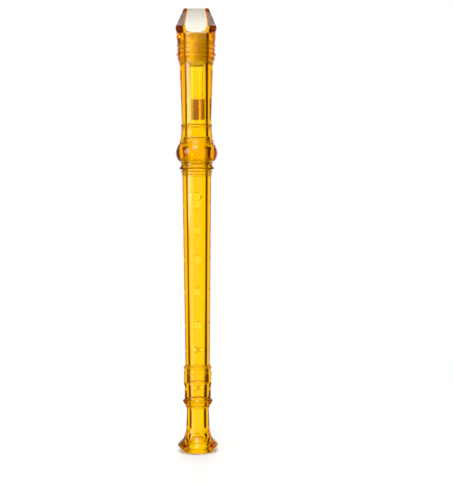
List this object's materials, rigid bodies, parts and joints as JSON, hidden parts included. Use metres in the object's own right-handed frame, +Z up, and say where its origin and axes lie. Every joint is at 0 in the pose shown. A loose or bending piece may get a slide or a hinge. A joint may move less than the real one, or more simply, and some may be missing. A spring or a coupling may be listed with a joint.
{
  "type": "soprano recorder",
  "caption": "Wind instrument in head, middle and foot joints with a blocked mouthpiece, a window with a ramp, finger holes, a thumb hole and a bell.",
  "frame": {"origin": "centre of the bell's flat face, on the axis of the bore, where the recorder stands on a table", "axes": "+Z up the bore towards the beak, +Y towards the finger holes and the window, -Y towards the thumb hole and the player"},
  "size_m": [0.0308, 0.0308, 0.3285],
  "materials": {
    "amber": "transparent gloss",
    "ivory": "opaque satin gloss",
    "label": "satin film"
  },
  "bodies": {
    "middle": {"middle_joint": "amber"},
    "head": {"head_joint": "amber", "block": "ivory", "label": "label"},
    "foot": {"foot_joint": "amber"}
  },
  "joints": [
    {"name": "head_slide", "type": "slide", "parent": "middle", "child": "head", "axis": [0, 0, 1], "range_m": [0, 0.022]},
    {"name": "foot_twist", "type": "hinge", "parent": "middle", "child": "foot", "pos_m": [0, 0, 0.0575], "axis": [0, 0, 1], "continuous": true}
  ]
}
